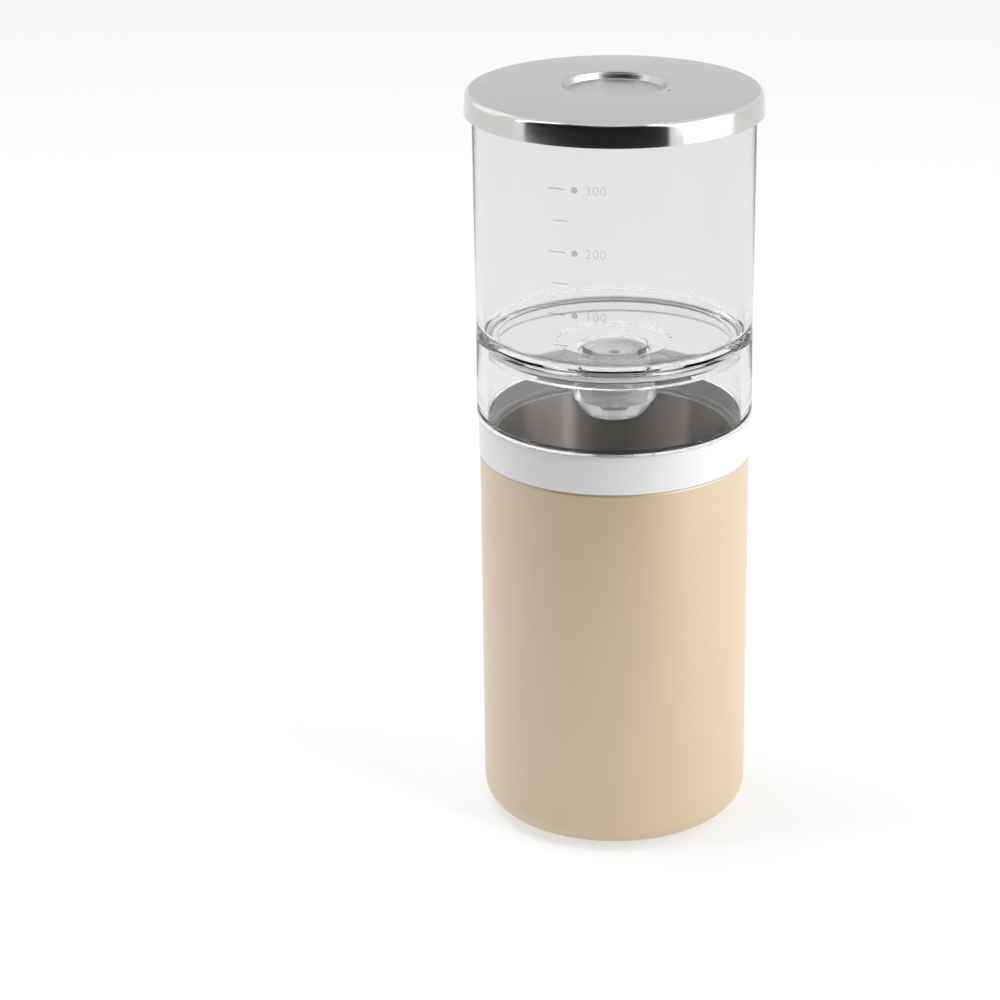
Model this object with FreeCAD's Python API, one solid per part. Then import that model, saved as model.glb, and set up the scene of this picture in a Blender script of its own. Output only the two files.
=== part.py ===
# Cold brew coffee maker: a clear water tank with a needle drip valve stands on a clear drip collar,
# over a steel coffee basket that hangs in an insulated cup.
# Lengths are millimetres. +Z is up, and the origin is the centre of the face that the cup stands on.
# Every piece is turned about Z unless its function says otherwise.

import FreeCAD
import Part
from FreeCAD import Vector

import math
import os

# Cup: outer shell, liner and foot
body_radius = 41.8
shell_height = 118.8
shell_wall = 0.8
shell_shoulder = 1.0
base_corner = 11.2
vacuum_gap = 2.4
liner_wall = 0.6
liner_floor_gap = 4.2
liner_corner = 9.0
neck_height = 3.4
foot_stand = 0.8
foot_thickness = 1.8
foot_radius = 27.0
foot_edge = 0.6
base_plate_thickness = 0.8
base_plate_lap = 2.0

# Neck ring: the pale ring that carries the basket and the collar
ring_height = 12.2
ring_proud = 0.2
ring_wall = 2.1
ring_edge = 0.7
ring_inner_edge = 0.35
ledge_thickness = 1.2
neck_seal_thickness = 0.8

# Coffee basket, its mesh and its spreader
basket_depth = 59.4
basket_sheet = 0.5
basket_corner = 1.2
basket_gap = 0.8
flange_thickness = 0.7
spreader_drop = 26.0
step_width = 1.0
mesh_thickness = 0.3
mesh_seat = 4.0
hoop_thickness = 1.4
hoop_width = 2.6
spreader_sheet = 0.5
spreader_rim = 3.0
spreader_corner = 1.2
spreader_hole_radius = 1.0
spreader_pitch = 7.0
spreader_margin = 4.0

# Clear drip collar
collar_height = 26.1
collar_proud = 0.6
collar_draft = 0.2
collar_wall = 3.1
spigot_wall = 1.3
collar_edge = 0.4
collar_seal_thickness = 0.8

# Clear water tank
tank_wall_height = 73.4
tank_draft = 0.4
tank_wall = 2.2
tank_lip = 0.7
tank_floor = 3.4
tank_floor_rise = 1.3
tank_floor_corner = 2.7
tank_floor_fall = 4.0
skirt_wall = 2.7
skirt_depth = 6.3
seal_section = 1.5
sump_radius = 17.8
sump_depth = 1.4
well_radius = 10.0
well_wall = 1.6
well_depth = 5.0
well_floor = 2.2

# Drip valve in the well
washer_thickness = 1.0
valve_flange = 2.6
valve_rim = 1.2
valve_rim_edge = 0.4
valve_recess = 1.4
shank_radius = 6.0
shank_length = 10.4
shank_edge = 0.4
shank_hole_gap = 0.2
inlet_radius = 1.8
orifice_radius = 1.2
orifice_length = 1.4
chamber_radius = 3.4
orifice_drop = 4.6
nut_radius = 8.6
nut_height = 3.0
nut_sides = 6
oring_section = 1.3
oring_drop = 11.5
needle_radius = 1.5
needle_tip_radius = 0.5
needle_tip_length = 2.6
needle_tip_reach = 1.2
needle_foot_thickness = 1.2
needle_hole_radius = 0.9
needle_hole_circle = 3.3
needle_hole_count = 4
knob_sides = 14
knob_top_radius = 11.2
knob_waist_radius = 13.5
knob_foot_radius = 9.5
knob_height = 14.1
knob_waist_height = 5.4
knob_floor = 5.5
knob_head_room = 0.6
outlet_radius = 2.2
funnel_depth = 2.4

# Pressed steel lid
lid_sheet = 0.6
lid_rim_height = 6.9
lid_rim_flare = 0.5
lid_shoulder = 1.8
lid_dome = 1.5
lid_dome_shoulder = 1.1
lid_dome_sweep = 400.0
dish_radius = 16.0
dish_depth = 2.3
dish_slope = 1.0
dish_rounding = 0.9
gasket_leg = 1.1
gasket_leg_drop = 2.6
gasket_flange = 1.7
gasket_reach = 2.4
vent_radius = 0.8
vent_place = (16.0, -8.5)

# Clearances between pieces
slip = 0.2
ring_slip = 0.1
basket_slip = 0.4
nut_slip = 0.8
skirt_slip = 0.4
turning_gap = 0.06
gasket_slip = 0.15

# Heights, from the foot upwards
shell_bottom = foot_stand
shell_top = shell_bottom + shell_height
neck_top = shell_top + neck_height
ledge_bottom = neck_top + neck_seal_thickness
ledge_top = ledge_bottom + ledge_thickness
flange_top = ledge_top + flange_thickness
ring_top = shell_top + ring_height
collar_top = ring_top + collar_height
tank_top = collar_top + tank_wall_height
floor_top = collar_top + tank_floor_rise
floor_bottom = floor_top - tank_floor
skirt_bottom = collar_top - skirt_depth
sump_edge = floor_top - tank_floor_fall
well_top = sump_edge - sump_depth
well_seat = well_top - well_depth
well_bottom = well_seat - well_floor
valve_seat = well_seat + washer_thickness
valve_top = valve_seat + valve_flange
valve_floor = valve_top - valve_recess
shank_bottom = valve_seat - shank_length
orifice_top = valve_top - orifice_drop
orifice_bottom = orifice_top - orifice_length
nut_bottom = well_bottom - nut_height
knob_top = well_bottom - knob_head_room
knob_bottom = knob_top - knob_height
knob_seat = knob_bottom + knob_floor
lid_under = tank_top + gasket_flange
lid_edge_top = lid_under + lid_sheet
basket_bottom = ledge_top - basket_depth
spreader_seat = ledge_top - spreader_drop
liner_floor = shell_bottom + shell_wall + liner_floor_gap

# Radii, from the body inwards
liner_outer = body_radius - shell_wall - vacuum_gap
liner_bore = liner_outer - liner_wall
neck_radius = liner_outer + shell_wall
ring_radius = body_radius + ring_proud
ring_bore = ring_radius - ring_wall
basket_radius = liner_bore - basket_gap
ledge_bore = basket_radius + basket_slip
flange_radius = ring_bore - slip
spigot_radius = ring_bore - slip
spigot_bore = spigot_radius - spigot_wall
collar_radius = ring_radius + collar_proud
collar_top_radius = collar_radius - collar_draft
collar_bore = collar_radius - collar_wall
tank_radius = collar_top_radius
tank_top_radius = tank_radius + tank_draft
skirt_radius = collar_bore - skirt_slip
gasket_radius = tank_top_radius + gasket_slip + gasket_leg
basket_lower_radius = basket_radius - step_width
mesh_radius = basket_lower_radius - basket_corner - slip
knob_bore = shank_radius + turning_gap
nut_pocket = nut_radius + basket_slip

up = Vector(0, 0, 1)
centre = Vector(0, 0, 0)
longest_reach = 0.49


def rounded_corner(before, here, after, rounding):
    """Start, middle and end of the arc at a corner; a sharp corner has no middle."""
    if rounding <= 0:
        return here, None, here
    back, ahead = (before - here), (after - here)
    shorter = min(back.Length, ahead.Length)
    back.normalize()
    ahead.normalize()
    half = back.getAngle(ahead) / 2
    reach = min(rounding / math.tan(half), longest_reach * shorter)
    radius = reach * math.tan(half)
    inward = (back + ahead).normalize()
    middle = here + inward * (radius / math.sin(half) - radius)
    return here + back * reach, middle, here + ahead * reach


def outline(points):
    """Closed wire through (radius, height) or (radius, height, corner radius) points."""
    places = [Vector(point[0], 0, point[1]) for point in points]
    roundings = [point[2] if len(point) > 2 else 0 for point in points]
    count = len(points)
    corners = []
    for i in range(count):
        following = places[(i + 1) % count]
        corners.append(rounded_corner(places[i - 1], places[i], following, roundings[i]))
    edges = []
    for i, (start, middle, end) in enumerate(corners):
        if middle is not None:
            edges.append(Part.Arc(start, middle, end).toShape())
        following = corners[(i + 1) % count][0]
        if (following - end).Length > 1e-6:
            edges.append(Part.LineSegment(end, following).toShape())
    return Part.Wire(edges)


def turned(points):
    """Solid of revolution about Z from an outline of (radius, height) points."""
    return Part.Face(outline(points)).revolve(centre, up, 360)


def sheet(path, thickness):
    """Outline of a pressed sheet: an open path, and the same path moved to its left."""
    last = len(path) - 1
    moved = []
    for i, point in enumerate(path):
        rounding = point[2] if len(point) > 2 else 0
        steps = []
        if i > 0:
            steps.append((point[0] - path[i - 1][0], point[1] - path[i - 1][1]))
        if i < last:
            steps.append((path[i + 1][0] - point[0], path[i + 1][1] - point[1]))
        lengths = [math.hypot(*step) for step in steps]
        lefts = [(-step[1] / size, step[0] / size) for step, size in zip(steps, lengths)]
        first, second = lefts[0], lefts[-1]
        share = thickness / (1 + first[0] * second[0] + first[1] * second[1])
        across = ((first[0] + second[0]) * share, (first[1] + second[1]) * share)
        turns_left = first[0] * second[1] - first[1] * second[0] > 0
        inner = rounding - thickness if turns_left else rounding + thickness
        moved.append((point[0] + across[0], point[1] + across[1], inner if rounding else 0))
    return list(path) + moved[::-1]


def cylinder(radius, bottom, top, x=0, y=0):
    return Part.makeCylinder(radius, top - bottom, Vector(x, y, bottom), up)


def on_circle(count, radius, turn=0):
    """Evenly spaced places on a circle, as (x, y)."""
    for i in range(count):
        angle = 2 * math.pi * i / count + turn
        yield radius * math.cos(angle), radius * math.sin(angle)


def polygon(sides, radius, height):
    """Closed wire of a regular polygon with a flat side towards -Y."""
    turn = -math.pi / 2 + math.pi / sides
    places = [Vector(x, y, height) for x, y in on_circle(sides, radius, turn)]
    return Part.makePolygon(places + places[:1])


def outer_shell():
    """Coated steel shell: straight wall, large bottom corner and a neck under the ring."""
    path = [
        (foot_radius - base_plate_lap, shell_bottom),
        (body_radius, shell_bottom, base_corner),
        (body_radius, shell_top, shell_shoulder),
        (neck_radius, shell_top),
        (neck_radius, neck_top),
    ]
    return turned(sheet(path, shell_wall))


def inner_vessel():
    """Steel liner, welded to the shell's neck at the mouth."""
    path = [
        (0, liner_floor),
        (liner_outer, liner_floor, liner_corner),
        (liner_outer, neck_top),
    ]
    return turned(sheet(path, liner_wall))


def base_plate():
    """Steel disc that closes the shell from below, behind the foot pad."""
    bottom = shell_bottom + shell_wall
    return cylinder(foot_radius, bottom, bottom + base_plate_thickness)


def foot_pad():
    """Soft disc that the cup stands on; its middle plugs the shell's base opening."""
    plug_radius = foot_radius - base_plate_lap - slip
    return turned([
        (0, 0),
        (foot_radius, 0, foot_edge),
        (foot_radius, shell_bottom),
        (plug_radius, shell_bottom),
        (plug_radius, shell_bottom + shell_wall),
        (0, shell_bottom + shell_wall),
    ])


def neck_ring():
    """Moulded ring over the neck, with the ledge that the basket hangs on."""
    lower_bore = neck_radius + ring_slip
    return turned([
        (lower_bore, shell_top),
        (ring_radius, shell_top, ring_inner_edge),
        (ring_radius, ring_top, ring_edge),
        (ring_bore, ring_top, ring_inner_edge),
        (ring_bore, ledge_top),
        (ledge_bore, ledge_top),
        (ledge_bore, ledge_bottom),
        (lower_bore, ledge_bottom),
    ])


def neck_seal():
    """Flat soft ring between the steel mouth and the neck ring."""
    return turned([
        (liner_bore, neck_top),
        (neck_radius, neck_top),
        (neck_radius, ledge_bottom),
        (liner_bore, ledge_bottom),
    ])


def coffee_basket():
    """Pressed steel basket: hanging flange, a step for the spreader and an open bottom."""
    step_under = spreader_seat - basket_sheet
    path = [
        (basket_lower_radius - mesh_seat, basket_bottom),
        (basket_lower_radius, basket_bottom, basket_corner),
        (basket_lower_radius, step_under),
        (basket_radius, step_under),
        (basket_radius, flange_top - basket_sheet),
        (flange_radius, flange_top - basket_sheet),
    ]
    wall = turned(sheet(path, basket_sheet))
    hem = turned([
        (basket_radius, ledge_top),
        (flange_radius, ledge_top),
        (flange_radius, flange_top),
        (basket_radius, flange_top),
    ])
    return wall.fuse(hem).removeSplitter()


def filter_mesh():
    """Disc of fine etched mesh on the basket's turned-in bottom."""
    bottom = basket_bottom + basket_sheet
    return cylinder(mesh_radius, bottom, bottom + mesh_thickness)


def mesh_hoop():
    """Sprung hoop that holds the mesh down."""
    bottom = basket_bottom + basket_sheet + mesh_thickness
    top = bottom + hoop_thickness
    return turned([
        (mesh_radius - hoop_width, bottom),
        (mesh_radius, bottom),
        (mesh_radius, top),
        (mesh_radius - hoop_width, top),
    ])


def spreader_plate():
    """Perforated tray that spreads the drops; holes lie in rings one pitch apart."""
    radius = basket_radius - basket_sheet - slip
    path = [
        (0, spreader_seat),
        (radius, spreader_seat, spreader_corner),
        (radius, spreader_seat + spreader_rim),
    ]
    plate = turned(sheet(path, spreader_sheet))
    holes = []
    rings = int((radius - spreader_margin) / spreader_pitch)
    for ring in range(rings + 1):
        count = 6 * ring if ring > 0 else 1
        for x, y in on_circle(count, ring * spreader_pitch):
            bottom, top = spreader_seat - slip, spreader_seat + spreader_sheet + slip
            holes.append(cylinder(spreader_hole_radius, bottom, top, x, y))
    return plate.cut(Part.makeCompound(holes))


def drip_collar():
    """Clear ring that carries the tank; its spigot drops into the neck ring."""
    spigot_bottom = flange_top + collar_seal_thickness
    return turned([
        (spigot_bore, spigot_bottom),
        (spigot_radius, spigot_bottom, collar_edge),
        (spigot_radius, ring_top),
        (collar_radius, ring_top, collar_edge),
        (collar_top_radius, collar_top, collar_edge),
        (collar_bore, collar_top, collar_edge),
        (collar_bore, ring_top + spigot_wall),
        (spigot_bore, ring_top),
    ])


def collar_seal():
    """Soft ring under the spigot that presses the basket's flange down."""
    return turned([
        (spigot_bore, flange_top),
        (spigot_radius, flange_top),
        (spigot_radius, flange_top + collar_seal_thickness),
        (spigot_bore, flange_top + collar_seal_thickness),
    ])


def water_tank():
    """Clear tank: drafted wall, conical floor, sump, valve well and grooved skirt."""
    bore = tank_radius - tank_wall
    top_bore = tank_top_radius - tank_wall
    skirt_bore = skirt_radius - skirt_wall
    groove_radius = skirt_radius - seal_section + slip
    groove_middle = (skirt_bottom + collar_top) / 2
    groove_half = seal_section / 2 + slip / 2
    well_outer = well_radius + well_wall
    return turned([
        (top_bore, tank_top, tank_lip),
        (bore, floor_top, tank_floor_corner),
        (sump_radius, sump_edge),
        (sump_radius - sump_depth, well_top),
        (well_radius, well_top),
        (well_radius, well_seat),
        (shank_radius + shank_hole_gap, well_seat),
        (shank_radius + shank_hole_gap, well_bottom),
        (well_outer, well_bottom),
        (well_outer, floor_bottom - tank_floor_fall),
        (sump_radius, floor_bottom - tank_floor_fall),
        (skirt_bore, floor_bottom),
        (skirt_bore, skirt_bottom),
        (skirt_radius, skirt_bottom),
        (skirt_radius, groove_middle - groove_half),
        (groove_radius, groove_middle - groove_half),
        (groove_radius, groove_middle + groove_half),
        (skirt_radius, groove_middle + groove_half),
        (skirt_radius, collar_top),
        (tank_radius, collar_top),
        (tank_top_radius, tank_top, tank_lip),
    ])


def ring_of_cord(outer_radius, section, height):
    """Round soft ring of a given cross-section."""
    middle_radius = outer_radius - section / 2
    return Part.makeTorus(middle_radius, section / 2, Vector(0, 0, height), up)


def tank_seal():
    """Soft ring in the skirt's groove, just short of the collar's bore."""
    outer_radius = skirt_radius + slip
    return ring_of_cord(outer_radius, seal_section, (skirt_bottom + collar_top) / 2)


def valve_washer():
    """Soft washer under the valve body's flange."""
    return turned([
        (shank_radius + shank_hole_gap, well_seat),
        (well_radius - slip, well_seat),
        (well_radius - slip, valve_seat),
        (shank_radius + shank_hole_gap, valve_seat),
    ])


def valve_body():
    """Bush through the well's floor: cupped flange, inlet, orifice and drip chamber."""
    groove_middle = valve_top - oring_drop
    groove_half = oring_section / 2
    groove_radius = shank_radius - oring_section
    return turned([
        (inlet_radius, valve_floor),
        (inlet_radius, orifice_top + inlet_radius - orifice_radius),
        (orifice_radius, orifice_top),
        (orifice_radius, orifice_bottom),
        (chamber_radius, orifice_bottom),
        (chamber_radius, shank_bottom),
        (shank_radius, shank_bottom, shank_edge),
        (shank_radius, groove_middle - groove_half),
        (groove_radius, groove_middle - groove_half),
        (groove_radius, groove_middle + groove_half),
        (shank_radius, groove_middle + groove_half),
        (shank_radius, valve_seat),
        (well_radius - slip, valve_seat),
        (well_radius - slip, valve_top, valve_rim_edge),
        (well_radius - slip - valve_rim, valve_top, valve_rim_edge),
        (well_radius - slip - valve_rim, valve_floor),
    ])


def valve_nut():
    """Six-sided nut that clamps the valve body from below."""
    prism = Part.Face(polygon(nut_sides, nut_radius, nut_bottom)).extrude(up * nut_height)
    bore = cylinder(shank_radius + turning_gap, nut_bottom - slip, well_bottom + slip)
    return prism.cut(bore)


def valve_oring():
    """Soft ring in the shank's groove, where the knob turns on it."""
    return ring_of_cord(shank_radius, oring_section, valve_top - oring_drop)


def valve_needle():
    """Needle with a drilled foot that stands in the knob; its tip meters the orifice."""
    tip_bottom = orifice_bottom - needle_tip_reach
    tip_top = tip_bottom + needle_tip_length
    foot_edge_radius = shank_radius - slip
    foot_top = knob_seat + needle_foot_thickness
    needle = turned([
        (0, knob_seat),
        (foot_edge_radius, knob_seat),
        (foot_edge_radius, foot_top),
        (needle_radius, foot_top, slip),
        (needle_radius, tip_bottom),
        (needle_tip_radius, tip_top),
        (0, tip_top),
    ])
    holes = [
        cylinder(needle_hole_radius, knob_seat - slip, foot_top + slip, x, y)
        for x, y in on_circle(needle_hole_count, needle_hole_circle, math.pi / 4)
    ]
    return needle.cut(Part.makeCompound(holes))


def drip_knob():
    """Clear faceted knob that turns and climbs on the valve body's shank."""
    levels = [
        (knob_foot_radius, knob_bottom),
        (knob_waist_radius, knob_bottom + knob_waist_height),
        (knob_top_radius, knob_top),
    ]
    wires = [polygon(knob_sides, radius, height) for radius, height in levels]
    faceted = Part.makeLoft(wires, True, True)
    funnel_top = needle_hole_circle + needle_hole_radius + slip
    inside = turned([
        (0, knob_bottom - slip),
        (outlet_radius, knob_bottom - slip),
        (outlet_radius, knob_seat - funnel_depth),
        (funnel_top, knob_seat),
        (knob_bore, knob_seat),
        (knob_bore, nut_bottom - nut_slip),
        (nut_pocket, nut_bottom - nut_slip),
        (nut_pocket, knob_top + slip),
        (0, knob_top + slip),
    ])
    return faceted.cut(inside)


def lid_shell():
    """Brushed steel lid: low dome, flared rim and a round finger dish with a vent beside it."""
    rim_top_radius = gasket_radius + lid_sheet
    rim_bottom = lid_edge_top - lid_rim_height
    dome_top = lid_edge_top + lid_dome
    dome_middle = (dish_radius + rim_top_radius) / 2
    dome_shoulder = lid_edge_top + lid_dome_shoulder
    dish_floor = dome_top - dish_depth
    path = [
        (rim_top_radius + lid_rim_flare, rim_bottom),
        (rim_top_radius, lid_edge_top, lid_shoulder),
        (dome_middle, dome_shoulder, lid_dome_sweep),
        (dish_radius, dome_top, dish_rounding),
        (dish_radius - dish_slope, dish_floor, dish_rounding),
        (0, dish_floor),
    ]
    lid = turned(sheet(path, lid_sheet))
    x, y = vent_place
    return lid.cut(cylinder(vent_radius, rim_bottom, dome_top + lid_sheet, x, y))


def lid_gasket():
    """Soft ring inside the lid: its flange sits on the tank's lip and its leg hugs the wall."""
    inner = tank_top_radius - gasket_reach
    leg_bottom = lid_edge_top - lid_rim_height + gasket_leg_drop
    return turned([
        (inner, tank_top),
        (tank_top_radius + gasket_slip, tank_top),
        (tank_top_radius + gasket_slip, leg_bottom),
        (gasket_radius - slip, leg_bottom),
        (gasket_radius - slip, lid_under - slip, lid_shoulder - lid_sheet),
        (inner, lid_under - slip),
    ])


pieces = [
    outer_shell,
    inner_vessel,
    base_plate,
    foot_pad,
    neck_ring,
    neck_seal,
    coffee_basket,
    filter_mesh,
    mesh_hoop,
    spreader_plate,
    drip_collar,
    collar_seal,
    water_tank,
    tank_seal,
    valve_washer,
    valve_body,
    valve_nut,
    valve_oring,
    valve_needle,
    drip_knob,
    lid_shell,
    lid_gasket,
]

os.makedirs("parts", exist_ok=True)
for piece in pieces:
    piece().exportStep(f"parts/{piece.__name__}.step")
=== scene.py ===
# Finishes, fine forms and studio for the cold brew coffee maker.
# Profiles are in millimetres, as (radius, height) or (radius, height, rounding); meshes are in metres.

import math

import bmesh
import bpy
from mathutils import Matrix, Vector


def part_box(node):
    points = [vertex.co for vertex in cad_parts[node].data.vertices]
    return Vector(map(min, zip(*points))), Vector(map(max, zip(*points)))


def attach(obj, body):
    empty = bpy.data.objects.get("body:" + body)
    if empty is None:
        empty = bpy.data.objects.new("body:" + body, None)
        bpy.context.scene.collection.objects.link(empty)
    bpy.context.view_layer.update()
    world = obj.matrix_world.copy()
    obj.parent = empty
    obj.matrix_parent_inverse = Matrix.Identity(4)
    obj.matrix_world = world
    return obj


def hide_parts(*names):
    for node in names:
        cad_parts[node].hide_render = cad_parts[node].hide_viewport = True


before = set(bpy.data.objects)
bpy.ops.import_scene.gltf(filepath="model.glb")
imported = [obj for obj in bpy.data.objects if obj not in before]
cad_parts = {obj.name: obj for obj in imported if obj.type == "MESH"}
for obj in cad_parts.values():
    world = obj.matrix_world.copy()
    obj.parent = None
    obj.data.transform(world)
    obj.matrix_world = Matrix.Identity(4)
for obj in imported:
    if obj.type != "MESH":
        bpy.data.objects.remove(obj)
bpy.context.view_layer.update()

mm = 0.001
SEGMENTS = 224
ARC_STEP = math.radians(9)
SHARP = math.radians(32)
# An arc uses at most this share of the shorter side of its corner, so that two arcs fit on a side.
ARC_SHARE = 0.49


def extent(node):
    """Lowest height, highest height and outer radius of a CAD node, in millimetres."""
    low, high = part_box(node)
    return low[2] / mm, high[2] / mm, max(high[0], -low[0]) / mm


shell_bottom, neck_top, shell_radius = extent("outer_shell")
ring_bottom, ring_top, ring_radius = extent("neck_ring")
liner_floor, liner_top, liner_radius = extent("inner_vessel")
foot_bottom, foot_top, foot_radius = extent("foot_pad")
basket_bottom, flange_top, flange_radius = extent("coffee_basket")
tray_bottom, _, _ = extent("spreader_plate")
spigot_bottom, collar_top, collar_radius = extent("drip_collar")
well_bottom, tank_top, tank_top_radius = extent("water_tank")
_, valve_top, valve_radius = extent("valve_body")
knob_bottom, knob_top, _ = extent("drip_knob")
nut_bottom, _, nut_radius = extent("valve_nut")
rim_bottom, dome_top, rim_radius = extent("lid_shell")


# Meshes

def arc_points(before, here, after, rounding):
    """Points that replace a corner by an arc, or the corner itself."""
    if rounding <= 0:
        return [here]
    back, ahead = before - here, after - here
    shorter = min(back.length, ahead.length)
    back.normalize()
    ahead.normalize()
    half = back.angle(ahead) / 2
    reach = min(rounding / math.tan(half), ARC_SHARE * shorter)
    radius = reach * math.tan(half)
    middle = here + (back + ahead).normalized() * (radius / math.sin(half))
    start = here + back * reach - middle
    sweep = start.angle_signed(here + ahead * reach - middle)
    count = max(2, math.ceil(abs(sweep) / ARC_STEP))
    points = []
    for i in range(count + 1):
        turn = sweep * i / count
        sine, cosine = math.sin(turn), math.cos(turn)
        # angle_signed runs clockwise, so the turn does too.
        spoke = Vector((start.x * cosine + start.y * sine, start.y * cosine - start.x * sine))
        points.append(middle + spoke)
    return points


def outline(points):
    """Smooth closed list of (radius, height) places from corners with roundings."""
    places = [Vector((point[0], point[1])) for point in points]
    roundings = [point[2] if len(point) > 2 else 0 for point in points]
    smooth = []
    for i, here in enumerate(places):
        smooth += arc_points(places[i - 1], here, places[(i + 1) % len(places)], roundings[i])
    return smooth


def finished(name, bm, body, slot, *nodes):
    """Object from a mesh, riding on a body and standing for CAD nodes."""
    bmesh.ops.recalc_face_normals(bm, faces=bm.faces)
    for face in bm.faces:
        face.smooth = True
    for edge in bm.edges:
        if len(edge.link_faces) == 2 and edge.calc_face_angle(0) > SHARP:
            edge.smooth = False
    mesh = bpy.data.meshes.new(name)
    bm.to_mesh(mesh)
    bm.free()
    piece = bpy.data.objects.new(name, mesh)
    bpy.context.collection.objects.link(piece)
    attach(piece, body)
    if nodes:
        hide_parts(*nodes)
    return piece


def turned(name, points, body, slot, *nodes, shape=None):
    """Solid of revolution; shape may change a radius with its angle."""
    bm = bmesh.new()
    rings = []
    for place in outline(points):
        radius, height = place.x, place.y
        if radius < 1e-6:
            rings.append([bm.verts.new((0, 0, height * mm))])
            continue
        ring = []
        for i in range(SEGMENTS):
            angle = 2 * math.pi * i / SEGMENTS
            reach = shape(radius, angle) if shape else radius
            x, y = reach * math.cos(angle), reach * math.sin(angle)
            ring.append(bm.verts.new((x * mm, y * mm, height * mm)))
        rings.append(ring)
    for ring, following in zip(rings, rings[1:] + rings[:1]):
        for i in range(SEGMENTS):
            j = (i + 1) % SEGMENTS
            corners = [
                ring[i % len(ring)], ring[j % len(ring)],
                following[j % len(following)], following[i % len(following)],
            ]
            # Where a ring is a single point on the axis, the four corners become three.
            corners = list(dict.fromkeys(corners))
            if len(corners) > 2:
                bm.faces.new(corners)
    return finished(name, bm, body, slot, *nodes)


def paint(piece, *finishes):
    """Give a piece its materials, the first on every face."""
    piece.data.materials.clear()
    for finish in finishes:
        piece.data.materials.append(finish)


def centre_radius(face):
    """Distance of a face's middle from the axis, in metres."""
    return math.hypot(face.center.x, face.center.y)


def paint_inside(piece, radius):
    """Give a piece's second material to its faces within a radius, in millimetres."""
    for face in piece.data.polygons:
        if centre_radius(face) < radius * mm:
            face.material_index = 1


def paint_nodes(finish, *nodes):
    """Give CAD nodes their material."""
    for node in nodes:
        for material_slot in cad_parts[node].material_slots:
            material_slot.link = "OBJECT"
            material_slot.material = finish


# Materials

class Wire:
    """A node's output that takes Python arithmetic."""

    def __init__(self, shading, socket):
        self.shading = shading
        self.socket = socket

    def math(self, operation, *values):
        return self.shading.node("ShaderNodeMath", {"operation": operation}, values)

    def __add__(self, other):
        return self.math("ADD", self, other)

    __radd__ = __add__

    def __rsub__(self, other):
        return self.math("SUBTRACT", other, self)

    def __mul__(self, other):
        return self.math("MULTIPLY", self, other)

    __rmul__ = __mul__

    def __truediv__(self, other):
        return self.math("DIVIDE", self, other)

    def __pow__(self, other):
        return self.math("POWER", self, other)

    def pingpong(self, length):
        """Distance to the nearest even multiple of a length."""
        return self.math("PINGPONG", self, length)

    def clamp(self):
        return self.shading.node("ShaderNodeClamp", {}, {"Value": self})


class Shading:
    """A node tree that is written as expressions."""

    def __init__(self, tree):
        self.tree = tree

    def node(self, kind, settings=None, values=(), output=0):
        """Output of a new node; values are a list by place or a dict by name."""
        made = self.tree.nodes.new(kind)
        for setting, value in (settings or {}).items():
            setattr(made, setting, value)
        pairs = values.items() if isinstance(values, dict) else enumerate(values)
        for place, value in pairs:
            self.feed(made.inputs[place], value)
        return Wire(self, made.outputs[output])

    def feed(self, socket, value):
        """Link a wire to a socket, or set the socket's own value."""
        if isinstance(value, Wire):
            self.tree.links.new(value.socket, socket)
        else:
            socket.default_value = value

    def place(self):
        """Position on the piece, in metres."""
        return self.node("ShaderNodeTexCoord", output="Object")

    def parts(self, vector):
        """The three parts of a vector."""
        outputs = self.node("ShaderNodeSeparateXYZ", {}, [vector]).socket.node.outputs
        return [Wire(self, output) for output in outputs]

    def vector(self, x, y, z):
        return self.node("ShaderNodeCombineXYZ", {}, [x, y, z])

    def noise(self, vector, scale, detail=3.0, roughness=0.55):
        values = {"Vector": vector, "Scale": scale, "Detail": detail, "Roughness": roughness}
        return self.node("ShaderNodeTexNoise", {}, values)

    def blend(self, factor, first, second):
        """Colour between two colours."""
        values = {0: factor, 6: first, 7: second}
        return self.node("ShaderNodeMix", {"data_type": "RGBA"}, values, output=2)

    def bump(self, height, distance, strength):
        values = {"Strength": strength, "Distance": distance, "Height": height}
        return self.node("ShaderNodeBump", {}, values)

    def seen_rays(self):
        """1 on the rays that show the background: camera, mirror and see-through rays."""
        rays = self.node("ShaderNodeLightPath").socket.node.outputs
        camera, mirror = Wire(self, rays["Is Camera Ray"]), Wire(self, rays["Is Glossy Ray"])
        return (camera + mirror + Wire(self, rays["Is Transmission Ray"])).clamp()


class Finish(Shading):
    """A material around one shader."""

    def __init__(self, name):
        self.material = bpy.data.materials.new(name)
        self.material.use_nodes = True
        super().__init__(self.material.node_tree)
        self.shader = self.tree.nodes["Principled BSDF"]

    def set(self, **values):
        """Set or link the shader's own sockets, named with underscores."""
        for name, value in values.items():
            self.feed(self.shader.inputs[name.replace("_", " ")], value)
        return self.material


def colour(red, green, blue):
    """Linear colour from display values of 0 to 255."""
    parts = []
    for part in (red, green, blue):
        part /= 255
        parts.append(part / 12.92 if part <= 0.04045 else ((part + 0.055) / 1.055) ** 2.4)
    return (*parts, 1.0)


def powder_coat():
    """Warm beige satin coating with a fine orange-peel grain."""
    finish = Finish("beige_powder_coat")
    place = finish.place()
    patches = finish.noise(place, 45.0, 2.0)
    grain = finish.noise(place, 3200.0, 2.0)
    peel = finish.noise(place, 900.0, 2.0)
    return finish.set(
        Base_Color=finish.blend(patches, colour(201, 173, 129), colour(206, 179, 136)),
        Roughness=0.44 + 0.10 * grain,
        Normal=finish.bump(grain * 0.4 + peel, 0.00004, 0.35),
        Specular_IOR_Level=0.9,
        Coat_Weight=1.0,
        Coat_IOR=2.1,
        Coat_Roughness=0.38,
        Sheen_Weight=0.08,
        Sheen_Roughness=0.35,
    )


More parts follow.
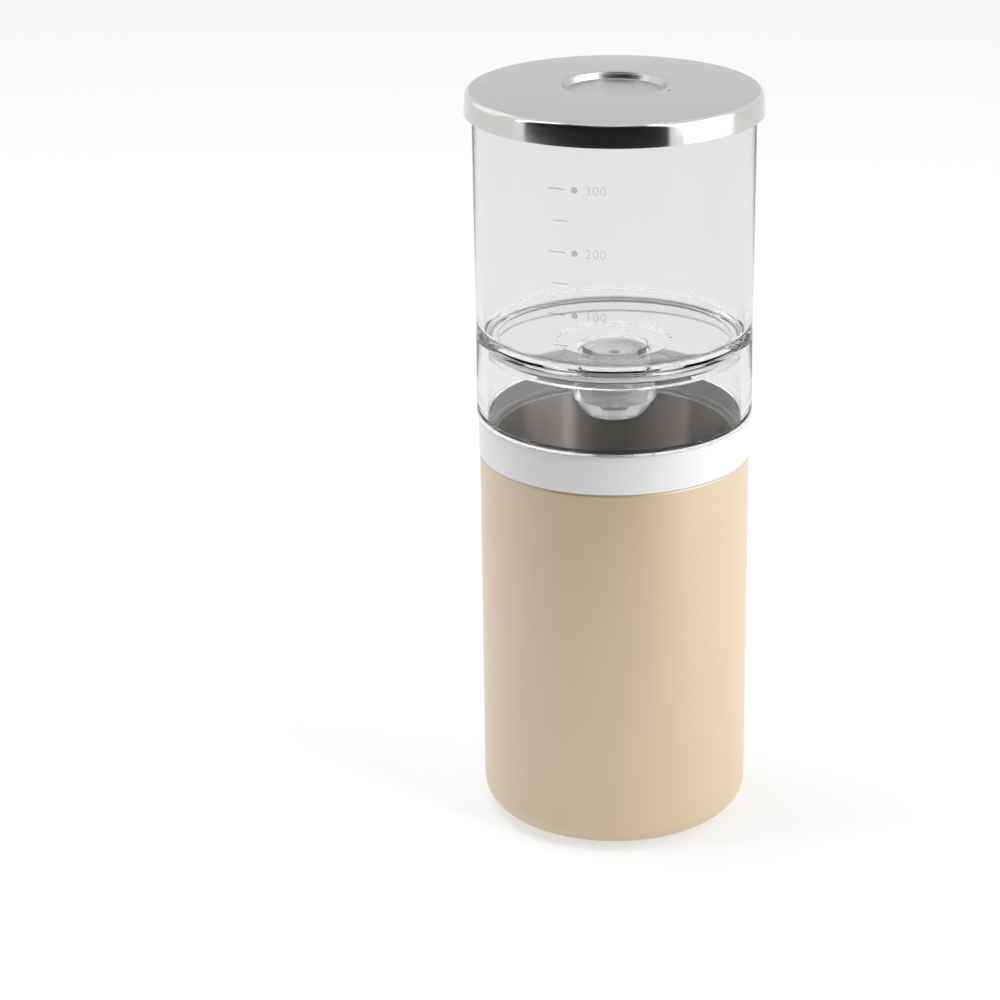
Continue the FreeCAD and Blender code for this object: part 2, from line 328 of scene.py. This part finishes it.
def white_moulding():
    """Satin white plastic with faint flow marks."""
    finish = Finish("white_moulding")
    place = finish.place()
    flow = finish.noise(place, 60.0, 3.0)
    grain = finish.noise(place, 2600.0, 2.0)
    return finish.set(
        Base_Color=finish.blend(flow, colour(232, 232, 234), colour(240, 240, 241)),
        Roughness=0.30 + 0.12 * grain,
        Normal=finish.bump(grain, 0.00002, 0.3),
    )


def clear_moulding(name, tint_and_shade, index, shine=0.12, roughness=0.0, milk=0.0):
    """Clear polished plastic; a low index with shine suits thin walls, a grey colour on them is painted
    shade, and milk makes it cloudy.
    """
    finish = Finish(name)
    place = finish.place()
    x, y, z = finish.parts(place)
    flow = finish.noise(finish.vector(x, y, z * 0.25), 28.0, 2.0)
    scuffs = finish.noise(place, 700.0, 3.0)
    return finish.set(
        Base_Color=finish.blend(flow * 0.3, tint_and_shade, (1, 1, 1, 1)),
        Roughness=roughness + 0.01 * scuffs,
        Normal=finish.bump(flow, 0.00004, 0.1),
        Transmission_Weight=1.0 - milk,
        IOR=index,
        Coat_Weight=shine,
        Coat_Roughness=0.02,
    )


def steel_pair(shade):
    """A little darker and a little lighter than a shade."""
    return [part * 0.9 for part in shade] + [1], [part * 1.08 for part in shade] + [1]


def turned_steel(name, shade, roughness, anisotropy):
    """Stainless steel brushed round its axis."""
    finish = Finish(name)
    place = finish.place()
    x, y, z = finish.parts(place)
    radius = (x * x + y * y) ** 0.5
    around = finish.vector(x / radius * 3.0, y / radius * 3.0, (z + radius * 1.37) * 5200.0)
    hairlines = finish.noise(around, 1.0, 4.0, 0.65)
    clouds = finish.noise(place, 55.0, 2.0)
    return finish.set(
        Base_Color=finish.blend(hairlines * 0.7 + clouds * 0.3, *steel_pair(shade)),
        Metallic=1.0,
        Roughness=roughness - 0.03 + 0.07 * hairlines,
        Normal=finish.bump(hairlines, 0.000004, 0.4),
        Anisotropic=anisotropy,
        Anisotropic_Rotation=0.25,
    )


def straight_steel(name, shade):
    """Stainless steel brushed in straight lines along X."""
    finish = Finish(name)
    x, y, z = finish.parts(finish.place())
    hairlines = finish.noise(finish.vector(x * 16.0, y * 3600.0, z * 40.0), 1.0, 4.0, 0.65)
    bands = finish.noise(finish.vector(x * 6.0, y * 260.0, z * 6.0), 1.0, 2.0)
    return finish.set(
        Base_Color=finish.blend(hairlines * 0.55 + bands * 0.45, *steel_pair(shade)),
        Metallic=1.0,
        Roughness=0.27 + 0.14 * hairlines,
        Normal=finish.bump(hairlines * 0.7 + bands * 0.3, 0.000012, 0.5),
    )


def etched_mesh():
    """Fine filter mesh: a field of small openings in steel, painted dark as the shade seen through the
    holes.
    """
    finish = Finish("etched_mesh")
    half_pitch = 0.0009 / 2
    x, y, _ = finish.parts(finish.place())
    row, column = x.pingpong(half_pitch) / half_pitch, y.pingpong(half_pitch) / half_pitch
    openings = ((row * row + column * column) ** 0.5 * -4.0 + 3.0).clamp()
    return finish.set(
        # Dark openings: painted shade of the holes.
        Base_Color=finish.blend(openings, colour(176, 174, 171), colour(28, 26, 25)),
        Metallic=1.0 - openings * 0.7,
        Roughness=0.34 + 0.2 * openings,
        Normal=finish.bump(1 - openings, 0.00005, 0.6),
    )


def soft_rubber(name, shade, transmission):
    """Matt silicone with a dusty bloom."""
    finish = Finish(name)
    place = finish.place()
    bloom = finish.noise(place, 120.0, 4.0)
    grain = finish.noise(place, 2200.0, 2.0)
    light = [min(1.0, part * 1.12) for part in shade[:3]] + [1]
    return finish.set(
        Base_Color=finish.blend(bloom, shade, light),
        Roughness=0.5 + 0.2 * bloom,
        Normal=finish.bump(grain, 0.00003, 0.4),
        Transmission_Weight=transmission,
        IOR=1.41,
    )


def frosted_moulding():
    """Natural frosted plastic of the drip valve."""
    finish = Finish("frosted_moulding")
    place = finish.place()
    flow = finish.noise(place, 160.0, 3.0)
    grain = finish.noise(place, 3000.0, 2.0)
    return finish.set(
        Base_Color=finish.blend(flow, colour(226, 226, 228), colour(242, 242, 243)),
        Roughness=0.22 + 0.16 * grain,
        Normal=finish.bump(grain, 0.00002, 0.3),
        Transmission_Weight=0.1,
        IOR=1.49,
    )


def scale_ink(name, strength):
    """Thin grey print, slightly uneven and partly see-through."""
    finish = Finish(name)
    wear = finish.noise(finish.place(), 2400.0, 3.0)
    return finish.set(
        Base_Color=finish.blend(wear, colour(120, 120, 122), colour(150, 150, 152)),
        Roughness=0.5 + 0.1 * wear,
        Alpha=strength * (0.8 + 0.4 * wear),
    )


BEIGE = powder_coat()
WHITE = white_moulding()
CLEAR = clear_moulding("clear_moulding", (0.95, 0.95, 0.955, 1), 1.17)
# The grey colours of the tank and collar walls are painted shade, in place of the dimming that a real
# wall's reflections give.
SHADED_CLEAR_WALL = clear_moulding("thin_clear_wall_painted_shade", (0.735, 0.735, 0.745, 1), 1.1)
CLEAR_BORE = clear_moulding("clear_bore", (1, 1, 1, 1), 1.1, shine=0.0)
SHADED_CLEAR_COLLAR = clear_moulding("clear_collar_wall_painted_shade", (0.76, 0.76, 0.768, 1), 1.1)
CLEAR_KNOB = clear_moulding("clear_knob", (0.99, 0.99, 0.99, 1), 1.26, 0.3, roughness=0.14, milk=0.22)
STEEL_RIM = turned_steel("brushed_rim_steel", (0.62, 0.605, 0.59), 0.16, 0.9)
# The basket and tray steels are darker than plain steel: painted shade of the basket's dark inside.
SHADED_BASKET_STEEL = turned_steel("brushed_basket_steel_painted_shade", (0.43, 0.405, 0.375), 0.43, 1.0)
SHADED_TRAY_STEEL = turned_steel("brushed_tray_steel_painted_shade", (0.26, 0.245, 0.23), 0.35, 0.5)
# The lid's top steel is darker than the rim steel of the same lid: painted shade.
SHADED_LID_STEEL = straight_steel("brushed_lid_steel_painted_shade", (0.49, 0.487, 0.482))
STEEL_PLAIN = turned_steel("spun_steel", (0.56, 0.55, 0.535), 0.3, 0.3)
MESH = etched_mesh()
SILICONE = soft_rubber("clear_silicone", colour(243, 243, 243), 0.45)
FOOT = soft_rubber("foot_silicone", colour(176, 160, 132), 0.0)
FROSTED = frosted_moulding()
INK = scale_ink("scale_ink", 0.5)
FAINT_INK = scale_ink("faint_scale_ink", 0.34)


# Cup

shell_wall = 0.8
shell_corner = 11.2
base_opening = foot_radius - 2.0
neck_radius = shell_radius - 2.4

liner_wall = 0.6
liner_corner = 9.0

foot_plug = foot_radius - 2.2
groove_depth = 0.35
groove_mouth = 0.9
groove_floor = 0.5
groove_radii = (11.5, 17.0, 22.5)

ring_edge = 0.7
ring_bore = ring_radius - 2.1
ring_inside = neck_radius + 0.1
ledge_top = flange_top - 0.7
ledge_bottom = ledge_top - 1.2
basket_radius = liner_radius - liner_wall - 0.8
ledge_bore = basket_radius + 0.4


def cup_shell():
    """Coated shell with a large bottom corner and a neck under the ring."""
    shell = turned("cup_shell", [
        (base_opening, shell_bottom),
        (shell_radius, shell_bottom, shell_corner),
        (shell_radius, ring_bottom, 1.0),
        (neck_radius, ring_bottom),
        (neck_radius, neck_top),
        (neck_radius - shell_wall, neck_top),
        (neck_radius - shell_wall, ring_bottom - shell_wall),
        (shell_radius - shell_wall, ring_bottom - shell_wall, 0.2),
        (shell_radius - shell_wall, shell_bottom + shell_wall, shell_corner - shell_wall),
        (base_opening, shell_bottom + shell_wall),
    ], "cup", "shell_coating", "outer_shell")
    paint(shell, BEIGE)


def cup_liner():
    """Steel liner with a rounded bottom and mouth."""
    liner = turned("cup_liner", [
        (0, liner_floor),
        (liner_radius, liner_floor, liner_corner),
        (liner_radius, liner_top, liner_wall / 3),
        (liner_radius - liner_wall, liner_top, liner_wall / 3),
        (liner_radius - liner_wall, liner_floor + liner_wall, liner_corner - liner_wall),
        (0, liner_floor + liner_wall),
    ], "cup", "steel", "inner_vessel")
    paint(liner, STEEL_PLAIN)


def cup_foot():
    """Soft foot with three round grooves."""
    points = [(0, foot_bottom)]
    for radius in groove_radii:
        points += [
            (radius - groove_mouth, foot_bottom, 0.15),
            (radius - groove_floor, foot_bottom + groove_depth, 0.1),
            (radius + groove_floor, foot_bottom + groove_depth, 0.1),
            (radius + groove_mouth, foot_bottom, 0.15),
        ]
    points += [
        (foot_radius, foot_bottom, 0.6),
        (foot_radius, shell_bottom),
        (foot_plug, shell_bottom),
        (foot_plug, foot_top),
        (0, foot_top),
    ]
    foot = turned("cup_foot", points, "cup", "foot_rubber", "foot_pad")
    paint(foot, FOOT)


def neck_ring():
    """White ring with the ledge that the basket hangs on."""
    ring = turned("white_neck_ring", [
        (ring_inside, ring_bottom),
        (ring_radius, ring_bottom, ring_edge / 2),
        (ring_radius, ring_top, ring_edge),
        (ring_bore, ring_top, ring_edge / 2),
        (ring_bore, ledge_top),
        (ledge_bore, ledge_top),
        (ledge_bore, ledge_bottom),
        (ring_inside, ledge_bottom),
    ], "cup", "ring_plastic", "neck_ring")
    paint(ring, WHITE)


cup_shell()
cup_liner()
cup_foot()
neck_ring()
paint_nodes(STEEL_PLAIN, "base_plate")
paint_nodes(SILICONE, "neck_seal")


# Basket

basket_sheet = 0.5
basket_corner = 1.2
basket_lower = basket_radius - 1.0
basket_opening = basket_lower - 4.0


def basket_wall():
    """Steel basket with a flange, a step that holds the tray and a turned-in bottom."""
    basket = turned("basket_wall", [
        (basket_opening, basket_bottom),
        (basket_lower, basket_bottom, basket_corner),
        (basket_lower, tray_bottom - basket_sheet, 0.15),
        (basket_radius, tray_bottom - basket_sheet, 0.15),
        (basket_radius, ledge_top, 0.1),
        (flange_radius, ledge_top, 0.2),
        (flange_radius, flange_top, 0.3),
        (basket_radius - basket_sheet, flange_top, 0.6),
        (basket_radius - basket_sheet, tray_bottom, 0.1),
        (basket_lower - basket_sheet, tray_bottom, 0.2),
        (basket_lower - basket_sheet, basket_bottom + basket_sheet, basket_corner - basket_sheet),
        (basket_opening, basket_bottom + basket_sheet),
    ], "basket", "steel", "coffee_basket")
    paint(basket, SHADED_BASKET_STEEL)


basket_wall()
paint_nodes(MESH, "filter_mesh")
paint_nodes(STEEL_PLAIN, "mesh_hoop")
paint_nodes(SHADED_TRAY_STEEL, "spreader_plate")


# Collar

seat_gap = 0.04
spigot_radius = ring_bore - 0.2
spigot_bore = spigot_radius - 1.3
collar_bore = collar_radius - 3.1
collar_top_radius = collar_radius - 0.2
collar_shoulder = ring_top + 1.3
bore_margin = 0.2


def clear_collar():
    """Clear ring with a spigot below it."""
    collar = turned("clear_collar", [
        (spigot_bore, spigot_bottom + seat_gap, 0.3),
        (spigot_radius, spigot_bottom + seat_gap, 0.43),
        (spigot_radius, ring_top + seat_gap),
        (collar_radius, ring_top + seat_gap, 0.5),
        (collar_top_radius, collar_top - seat_gap, 0.5),
        (collar_bore, collar_top - seat_gap, 0.5),
        (collar_bore, collar_shoulder, 0.4),
        (spigot_bore, ring_top, 0.4),
    ], "collar", "clear_plastic", "drip_collar")
    paint(collar, SHADED_CLEAR_COLLAR, CLEAR_BORE)
    paint_inside(collar, collar_bore + bore_margin)


clear_collar()
paint_nodes(SILICONE, "collar_seal")


# Tank and drip valve

tank_wall = 2.2
tank_radius = collar_top_radius
tank_bore = tank_radius - tank_wall
floor_top = collar_top + 1.3
floor_bottom = floor_top - 3.4
floor_corner = 2.7
floor_fall = 4.0
cone_bottom = floor_bottom - floor_fall
skirt_bottom = collar_top - 6.3
skirt_radius = collar_bore - 0.4
skirt_bore = skirt_radius - 2.7
sump_radius = 17.8
sump_foot = sump_radius - 0.15
sump_edge = floor_top - floor_fall
well_top = sump_edge - 1.4
well_radius = valve_radius + 0.2
well_outside = well_radius + 1.6
well_seat = valve_top - 3.6
shank_hole = 6.2
groove_middle = (skirt_bottom + collar_top) / 2
groove_low, groove_high = groove_middle - 0.85, groove_middle + 0.85
groove_bottom = skirt_radius - 1.3

knob_sides = 14
knob_foot = 9.5
knob_waist = 13.5
knob_waist_height = knob_bottom + 5.4
knob_shoulder = 11.2
knob_seat = knob_bottom + 5.5
knob_bore = 6.06
knob_outlet = 2.2
funnel_radius = 4.4
funnel_bottom = knob_seat - 2.4
nut_pocket = nut_radius + 0.4
pocket_floor = nut_bottom - 0.8
facet_start = nut_pocket + 0.3
facet_corner = 0.992


def clear_tank():
    """Clear tank: drafted wall, conical floor, sump, valve well and grooved skirt."""
    tank = turned("clear_tank", [
        (tank_top_radius - tank_wall, tank_top, 0.7),
        (tank_bore, floor_top, floor_corner),
        (sump_radius, sump_edge, 0.2),
        (sump_foot, well_top, 0.2),
        (well_radius, well_top, 0.15),
        (well_radius, well_seat, 0.3),
        (shank_hole, well_seat, 0.2),
        (shank_hole, well_bottom, 0.2),
        (well_outside, well_bottom, 0.3),
        (well_outside, cone_bottom, 0.3),
        (sump_radius, cone_bottom),
        (skirt_bore, floor_bottom, 0.6),
        (skirt_bore, skirt_bottom, 0.35),
        (skirt_radius, skirt_bottom, 0.7),
        (skirt_radius, groove_low, 0.15),
        (groove_bottom, groove_low, 0.2),
        (groove_bottom, groove_high, 0.2),
        (skirt_radius, groove_high, 0.15),
        (skirt_radius, collar_top, 0.3),
        (tank_radius, collar_top, 0.4),
        (tank_top_radius, tank_top, 0.7),
    ], "tank", "clear_plastic", "water_tank")
    paint(tank, CLEAR, SHADED_CLEAR_WALL, CLEAR_BORE)
    wall_start = (floor_top + floor_corner) * mm
    wall_middle = (tank_top_radius - tank_wall / 2) * mm
    for face in tank.data.polygons:
        if face.center.z > wall_start:
            face.material_index = 1 if centre_radius(face) > wall_middle else 2


def knob_facets(radius, angle):
    """Radius on a flat-sided ring with its corners cut back a little; the inside stays round."""
    if radius < facet_start:
        return radius
    pitch = 2 * math.pi / knob_sides
    offset = (angle + math.pi / 2 + pitch / 2) % pitch - pitch / 2
    flat = radius * math.cos(pitch / 2) / math.cos(offset)
    return min(flat, radius * facet_corner)


def drip_knob():
    """Faceted knob with a pocket for the nut, a bore for the shank and a funnel to the outlet."""
    knob = turned("faceted_drip_knob", [
        (knob_outlet, knob_bottom, 0.4),
        (knob_foot, knob_bottom, 0.5),
        (knob_waist, knob_waist_height, 0.6),
        (knob_shoulder, knob_top, 0.5),
        (nut_pocket, knob_top, 0.3),
        (nut_pocket, pocket_floor, 0.3),
        (knob_bore, pocket_floor, 0.3),
        (knob_bore, knob_seat, 0.1),
        (funnel_radius, knob_seat, 0.2),
        (knob_outlet, funnel_bottom, 0.4),
    ], "knob", "clear_plastic", "drip_knob", shape=knob_facets)
    paint(knob, CLEAR_KNOB)


clear_tank()
drip_knob()
paint_nodes(SILICONE, "tank_seal", "valve_washer", "valve_oring")
paint_nodes(FROSTED, "valve_body", "valve_nut")
paint_nodes(STEEL_PLAIN, "valve_needle")


# Scale on the tank's front

ink_rise = 0.05
scale_top = 213.5
scale_step = 19.0
scale_numbers = (300, 200, 100)
tick_left, tick_right, tick_width = -19.3, -14.3, 0.32
half_left, half_right, half_width = -18.0, -13.6, tick_width * 0.8
dot_across, dot_radius, dot_sides = -11.6, 0.95, 28
number_left, number_drop, number_size = -8.6, 1.35, 3.9
number_spacing = 1.12
number_thinning = 0.012


def wall_radius(height):
    """Outer radius of the drafted tank wall."""
    share = (height - collar_top) / (tank_top - collar_top)
    return tank_radius + (tank_top_radius - tank_radius) * share


def on_wall(across, height):
    """Place on the tank's front wall, from a sideways distance and a height."""
    reach = wall_radius(height) + ink_rise
    angle = math.asin(across / reach)
    return Vector((reach * math.sin(angle), -reach * math.cos(angle), height)) * mm


def bar(left, right, height, width):
    """Outline of a level stroke, in short steps so that it follows the wall."""
    steps = 8
    lower = [(left + (right - left) * i / steps, height - width / 2) for i in range(steps + 1)]
    upper = [(across, height + width / 2) for across, _ in reversed(lower)]
    return lower + upper


def dot(across, height, radius):
    """Outline of a round mark."""
    turns = [2 * math.pi * i / dot_sides for i in range(dot_sides)]
    return [(across + radius * math.cos(turn), height + radius * math.sin(turn)) for turn in turns]


def print_shapes(name, shapes):
    """Thin print on the wall from flat outlines of (across, height)."""
    bm = bmesh.new()
    for shape in shapes:
        bm.faces.new([bm.verts.new(on_wall(across, height)) for across, height in shape])
    paint(finished(name, bm, "tank", "clear_plastic"), INK)


def print_number(name, text, left, height):
    """Plain number wrapped on the wall."""
    curve = bpy.data.curves.new(name, "FONT")
    curve.body = text
    curve.size = number_size
    curve.offset = -number_thinning * number_size
    curve.space_character = number_spacing
    writing = bpy.data.objects.new(name + "_writing", curve)
    bpy.context.collection.objects.link(writing)
    flat = bpy.data.meshes.new_from_object(writing)
    bpy.data.objects.remove(writing)
    bm = bmesh.new()
    bm.from_mesh(flat)
    bpy.data.meshes.remove(flat)
    for vertex in bm.verts:
        vertex.co = on_wall(left + vertex.co.x, height + vertex.co.y)
    paint(finished(name, bm, "tank", "clear_plastic"), FAINT_INK)


for i, number in enumerate(scale_numbers):
    height = scale_top - scale_step * i
    print_shapes(f"scale_marks_{number}", [
        bar(tick_left, tick_right, height, tick_width),
        dot(dot_across, height, dot_radius),
        bar(half_left, half_right, height - scale_step / 2, half_width),
    ])
    print_number(f"scale_number_{number}", str(number), number_left, height - number_drop)


# Lid

lid_sheet = 0.6
lid_edge = dome_top - 1.5
rim_top_radius = rim_radius - 0.5
rim_finish_edge = rim_top_radius - 1.0
dish_radius = 16.0
dish_floor_radius = dish_radius - 1.0
dish_floor = dome_top - 2.3
dome_middle = (dish_radius + rim_top_radius) / 2
dome_height = lid_edge + 1.1
dome_rounding = 300

vent_radius = 0.8
vent_sides = 24
vent_across, vent_along = 16.0, -8.5
vent_rise = 0.06


def steel_lid():
    """Pressed lid: flared rim, low dome and round finger dish."""
    lid = turned("steel_lid", [
        (rim_radius, rim_bottom, 0.15),
        (rim_top_radius, lid_edge, 1.8),
        (dome_middle, dome_height, dome_rounding),
        (dish_radius, dome_top, 0.9),
        (dish_floor_radius, dish_floor, 0.9),
        (0, dish_floor),
        (0, dish_floor - lid_sheet),
        (dish_floor_radius - 0.3, dish_floor - lid_sheet, 1.5),
        (dish_radius - 0.4, dome_top - lid_sheet, 0.4),
        (dome_middle, dome_height - lid_sheet, dome_rounding),
        (rim_top_radius - lid_sheet, lid_edge - lid_sheet, 1.2),
        (rim_radius - lid_sheet, rim_bottom, 0.15),
    ], "lid", "steel", "lid_shell")
    paint(lid, STEEL_RIM, SHADED_LID_STEEL)
    paint_inside(lid, rim_finish_edge)


def lid_vent():
    """Small dark disc beside the dish: painted shade of the vent hole."""
    bm = bmesh.new()
    bmesh.ops.create_circle(bm, cap_ends=True, segments=vent_sides, radius=vent_radius * mm)
    share = (math.hypot(vent_across, vent_along) - dish_radius) / (rim_top_radius - dish_radius)
    height = dome_top - (dome_top - lid_edge) * share + vent_rise
    for vertex in bm.verts:
        vertex.co += Vector((vent_across, vent_along, height)) * mm
    vent = finished("lid_vent", bm, "lid", "steel")
    # Flat dark grey: painted shade of the vent hole.
    paint(vent, Finish("vent_shadow").set(Base_Color=(0.2, 0.2, 0.2, 1), Roughness=0.6))


steel_lid()
lid_vent()
paint_nodes(SILICONE, "lid_gasket")


# Studio

floor_shade = (0.94, 0.94, 0.94, 1)
floor_glow = 0.64
floor_near, floor_far, floor_side = -0.45, 1.9, 1.8
flag_shade = (0.012, 0.011, 0.01, 1)
flag_distance = 1.5
flag_left, flag_right = math.radians(-70), math.radians(41)
flag_low, flag_high = -1.2, 4.0
flag_count = 12
ambient = 0.62
lamp_aim = Vector((0, 0, 0.12))


def card(name, corners, material, camera=True):
    """Flat stage piece through four corners; camera=False keeps it out of the camera and clear walls."""
    mesh = bpy.data.meshes.new(name)
    mesh.from_pydata(corners, [], [tuple(range(len(corners)))])
    piece = bpy.data.objects.new(name, mesh)
    bpy.context.collection.objects.link(piece)
    piece.data.materials.append(material)
    piece.visible_camera = camera
    piece.visible_transmission = camera


def pale_floor():
    """Pale floor with a glow that makes the background white and keeps the shadow."""
    finish = Finish("pale_floor")
    finish.set(Base_Color=floor_shade, Roughness=0.9, Specular_IOR_Level=0.0)
    glow = finish.node("ShaderNodeEmission", {}, {"Color": (1, 1, 1, 1), "Strength": 1.0})
    shown = finish.node("ShaderNodeMixShader", {}, {
        0: finish.seen_rays() * floor_glow,
        1: Wire(finish, finish.shader.outputs[0]),
        2: glow,
    })
    finish.feed(finish.tree.nodes["Material Output"].inputs["Surface"], shown)
    card("floor", [
        (-floor_side, floor_near, 0), (floor_side, floor_near, 0),
        (floor_side, floor_far, 0), (-floor_side, floor_far, 0),
    ], finish.material)


def dark_flags():
    """Dark cards in an arc in front, which give the steel its dark zones."""
    material = Finish("dark_flag").set(Base_Color=flag_shade, Roughness=0.9, Specular_IOR_Level=0.0)
    for i in range(flag_count):
        edges = [flag_left + (flag_right - flag_left) * (i + j) / flag_count for j in (0, 1)]
        left, right = [(flag_distance * math.sin(edge), -flag_distance * math.cos(edge)) for edge in edges]
        card(f"flag_{i}", [
            (*left, flag_low), (*right, flag_low), (*right, flag_high), (*left, flag_high),
        ], material, camera=False)


def softbox(name, azimuth, elevation, distance, width, height, watts, mirrored=True):
    """Area light aimed at the middle of the object; azimuth 0 is in front."""
    light = bpy.data.lights.new(name, "AREA")
    light.shape = "RECTANGLE"
    light.size, light.size_y = width, height
    light.energy = watts
    lamp = bpy.data.objects.new(name, light)
    turn, lift = math.radians(azimuth), math.radians(elevation)
    away = Vector((math.sin(turn) * math.cos(lift), -math.cos(turn) * math.cos(lift), math.sin(lift)))
    lamp.location = lamp_aim + away * distance
    lamp.rotation_euler = away.to_track_quat("Z", "Y").to_euler()
    lamp.visible_glossy = mirrored
    bpy.context.collection.objects.link(lamp)


def white_world():
    """World that lights with the ambient share and shows as white."""
    world = bpy.data.worlds.new("studio")
    bpy.context.scene.world = world
    world.use_nodes = True
    sky = Shading(world.node_tree)
    background = world.node_tree.nodes["Background"]
    background.inputs["Color"].default_value = (1, 1, 1, 1)
    sky.feed(background.inputs["Strength"], sky.seen_rays() * (1 - ambient) + ambient)


pale_floor()
dark_flags()
softbox("right_softbox", 76, 20, 1.5, 1.4, 1.5, 13.5)
softbox("right_strip", 49, 38, 1.4, 0.16, 1.6, 5.0)
softbox("left_strip", -76, 38, 1.4, 0.1, 1.6, 2.6)
softbox("left_softbox", -118, 28, 1.5, 1.0, 1.2, 1.5)
softbox("top_softbox", -100, 76, 1.4, 0.8, 0.8, 11.0, mirrored=False)
white_world()


# Camera, from a fit of the photograph's rings and silhouettes

camera_distance = 0.9733
camera_tilt = math.radians(21.089)
camera_aim = 0.10203
camera = bpy.data.cameras.new("camera")
camera.lens = 111.84
camera.sensor_width = 36
camera.shift_x = -0.1144
camera_back = camera_distance * math.cos(camera_tilt)
camera_height = camera_aim + camera_distance * math.sin(camera_tilt)
eye = bpy.data.objects.new("camera", camera)
eye.location = (0, -camera_back, camera_height)
eye.rotation_euler = (math.pi / 2 - camera_tilt, 0, 0)
bpy.context.collection.objects.link(eye)
bpy.context.scene.camera = eye
bpy.context.scene.view_settings.view_transform = "Standard"
